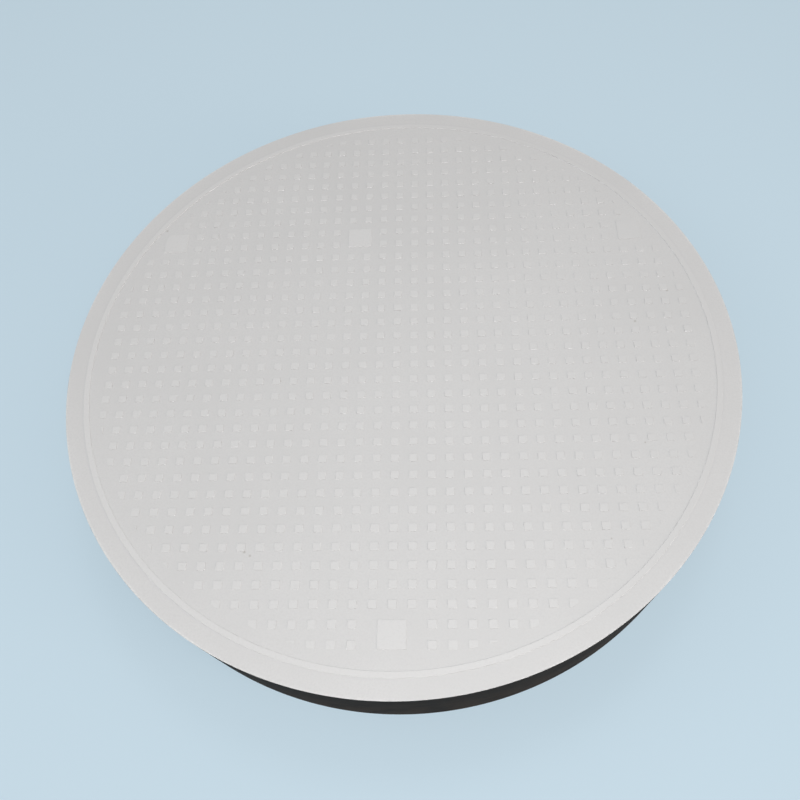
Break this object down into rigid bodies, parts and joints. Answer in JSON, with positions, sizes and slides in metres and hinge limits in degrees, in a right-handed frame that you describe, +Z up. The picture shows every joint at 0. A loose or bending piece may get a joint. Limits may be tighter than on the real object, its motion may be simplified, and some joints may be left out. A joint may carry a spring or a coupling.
{
  "type": "ceramic wafer substrate plate",
  "caption": "Thick round ceramic plate whose upper face carries a square grid of low pads, a few wide pads and a raised ring near its rim.",
  "frame": {"origin": "middle of the flat underside", "axes": "+Z up out of the padded face, X and Y along the rows of pads, -Y towards the single wide pad beside the ring"},
  "size_m": [0.196, 0.196, 0.028],
  "materials": {
    "ceramic": "ground and blasted matt on the face, darker as-fired skin on the wall and the underside"
  },
  "bodies": {
    "root": {"substrate": "ceramic"}
  },
  "joints": []
}
